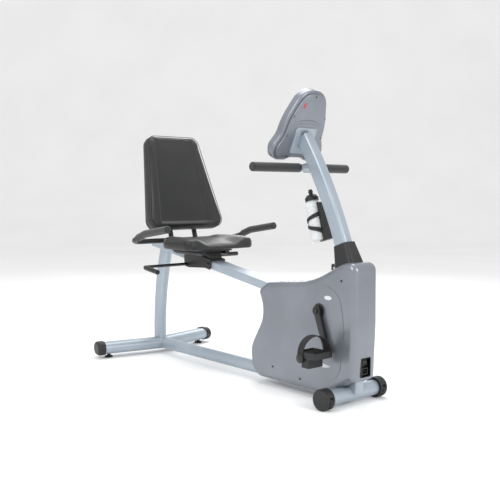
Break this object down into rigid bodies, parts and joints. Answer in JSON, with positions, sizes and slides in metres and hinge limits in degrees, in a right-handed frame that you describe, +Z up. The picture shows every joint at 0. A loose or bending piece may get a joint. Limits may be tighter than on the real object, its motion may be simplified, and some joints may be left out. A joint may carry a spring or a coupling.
{
  "type": "recumbent exercise bike",
  "caption": "Recumbent exercise bike with a sliding padded seat on a sloping rail, cranks and pedals on a closed drive housing, and a raised mast with handlebar, bottle and console.",
  "frame": {"origin": "on the floor, under the middle of the bike's length and width", "axes": "+X towards the front, where the mast and console stand, +Y to the rider's left, +Z up"},
  "size_m": [1.5612, 0.732, 1.2948],
  "materials": {
    "frame_paint": "satin silver powder coat",
    "cover_plastic": "silver paint on moulded ABS",
    "black_plastic": "moulded, fine grain",
    "dark_parts": "moulded, smooth",
    "wheel_rubber": "moulded",
    "grip_foam": "foam",
    "strap_rubber": "moulded",
    "black_steel": "black powder coat",
    "vinyl": "black vinyl",
    "bright_steel": "zinc plated",
    "cast_wheel": "turned",
    "pulley_plastic": "moulded nylon",
    "bottle_plastic": "translucent",
    "screen_glass": "clear window over a grey display"
  },
  "bodies": {
    "frame": {"rear_stabilizer": "frame_paint", "front_stabilizer": "frame_paint", "base_rail": "frame_paint", "seat_rail": "frame_paint", "rear_post": "frame_paint", "mast": "frame_paint", "drive_frame": "frame_paint", "right_cover": "cover_plastic", "left_cover": "cover_plastic", "console_back": "cover_plastic", "console_front": "cover_plastic", "rear_caps": "black_plastic", "front_caps": "black_plastic", "seat_rail_cap": "black_plastic", "crank_rings": "black_plastic", "mast_boot": "black_plastic", "console_plate": "black_plastic", "power_panel": "dark_parts", "bottle_cage": "dark_parts", "handlebar_grips": "grip_foam", "drive_belt": "strap_rubber", "handlebar": "black_steel", "magnet_brake": "black_steel", "wheel_pins": "bright_steel", "cover_screws": "bright_steel", "crank_bearings": "bright_steel", "flywheel_bearings": "bright_steel", "console_screen": "screen_glass"},
    "crank": {"crank_axle": "bright_steel", "drive_pulley": "pulley_plastic", "crank_arm_right": "black_steel", "crank_arm_left": "black_steel", "crank_bolts": "bright_steel", "pedal_spindles": "bright_steel"},
    "right_pedal": {"pedal_right": "black_plastic", "pedal_strap_right": "strap_rubber"},
    "left_pedal": {"pedal_left": "black_plastic", "pedal_strap_left": "strap_rubber"},
    "flywheel_body": {"flywheel": "cast_wheel"},
    "seat": {"seat_carriage": "black_steel", "slide_pads": "black_plastic", "carriage_bolts": "bright_steel", "seat_frame": "black_steel", "seat_cushion": "vinyl", "seat_back": "vinyl", "seat_handlebar": "black_steel", "seat_grips": "grip_foam"},
    "lever": {"seat_lever": "black_steel"},
    "right_wheel": {"transport_wheel_right": "wheel_rubber"},
    "left_wheel": {"transport_wheel_left": "wheel_rubber"},
    "right_foot": {"rear_foot_right": "black_plastic"},
    "left_foot": {"rear_foot_left": "black_plastic"},
    "bottle": {"bottle_body": "bottle_plastic", "bottle_cap": "dark_parts"},
    "valve": {"bottle_valve": "dark_parts"},
    "switch": {"power_switch": "dark_parts"},
    "down_button": {"button_down": "dark_parts"},
    "start_button": {"button_start": "dark_parts"},
    "up_button": {"button_up": "dark_parts"}
  },
  "joints": [
    {"name": "crank_spin", "type": "hinge", "parent": "frame", "child": "crank", "pos_m": [0.583, 0, 0.376], "axis": [0, 1, 0], "continuous": true},
    {"name": "right_pedal_spin", "type": "hinge", "parent": "crank", "child": "right_pedal", "pos_m": [0.64114, -0.159, 0.21625], "axis": [0, 1, 0], "continuous": true},
    {"name": "left_pedal_spin", "type": "hinge", "parent": "crank", "child": "left_pedal", "pos_m": [0.52486, 0.159, 0.53575], "axis": [0, 1, 0], "continuous": true},
    {"name": "flywheel_spin", "type": "hinge", "parent": "frame", "child": "flywheel_body", "pos_m": [0.375, 0, 0.215], "axis": [0, 1, 0], "continuous": true},
    {"name": "seat_slide", "type": "slide", "parent": "frame", "child": "seat", "axis": [0.9859, 0, -0.1676], "range_m": [-0.1, 0.25]},
    {"name": "lever_pull", "type": "hinge", "parent": "seat", "child": "lever", "pos_m": [-0.373, 0, 0.499], "axis": [0, -1, 0], "range_deg": [0, 25], "stiffness_Nm_per_rad": 3, "springref_deg": -17.19},
    {"name": "right_wheel_roll", "type": "hinge", "parent": "frame", "child": "right_wheel", "pos_m": [0.72308, -0.159, 0.03601], "axis": [0, 1, 0], "continuous": true},
    {"name": "left_wheel_roll", "type": "hinge", "parent": "frame", "child": "left_wheel", "pos_m": [0.72308, 0.159, 0.03601], "axis": [0, 1, 0], "continuous": true},
    {"name": "right_foot_turn", "type": "hinge", "parent": "frame", "child": "right_foot", "pos_m": [-0.72648, -0.29236, 0.02], "axis": [0, 0, 1], "continuous": true},
    {"name": "left_foot_turn", "type": "hinge", "parent": "frame", "child": "left_foot", "pos_m": [-0.72648, 0.29236, 0.02], "axis": [0, 0, 1], "continuous": true},
    {"name": "bottle_lift", "type": "slide", "parent": "frame", "child": "bottle", "axis": [-0.2588, 0, 0.9659], "range_m": [0, 0.06]},
    {"name": "valve_pull", "type": "slide", "parent": "bottle", "child": "valve", "axis": [-0.2588, 0, 0.9659], "range_m": [0, 0.006]},
    {"name": "switch_rock", "type": "hinge", "parent": "frame", "child": "switch", "pos_m": [0.757, 0.004, 0.18], "axis": [0, 1, 0], "range_deg": [-8, 8]},
    {"name": "down_press", "type": "slide", "parent": "frame", "child": "down_button", "axis": [0.91, 0, -0.4147], "range_m": [0, 0.0015], "stiffness_N_per_m": 400, "springref_m": -0.001},
    {"name": "start_press", "type": "slide", "parent": "frame", "child": "start_button", "axis": [0.91, 0, -0.4147], "range_m": [0, 0.0015], "stiffness_N_per_m": 400, "springref_m": -0.001},
    {"name": "up_press", "type": "slide", "parent": "frame", "child": "up_button", "axis": [0.91, 0, -0.4147], "range_m": [0, 0.0015], "stiffness_N_per_m": 400, "springref_m": -0.001}
  ],
  "couplings": [
    {"joint": "flywheel_spin", "follows": "crank_spin", "ratio": 4.9091}
  ]
}
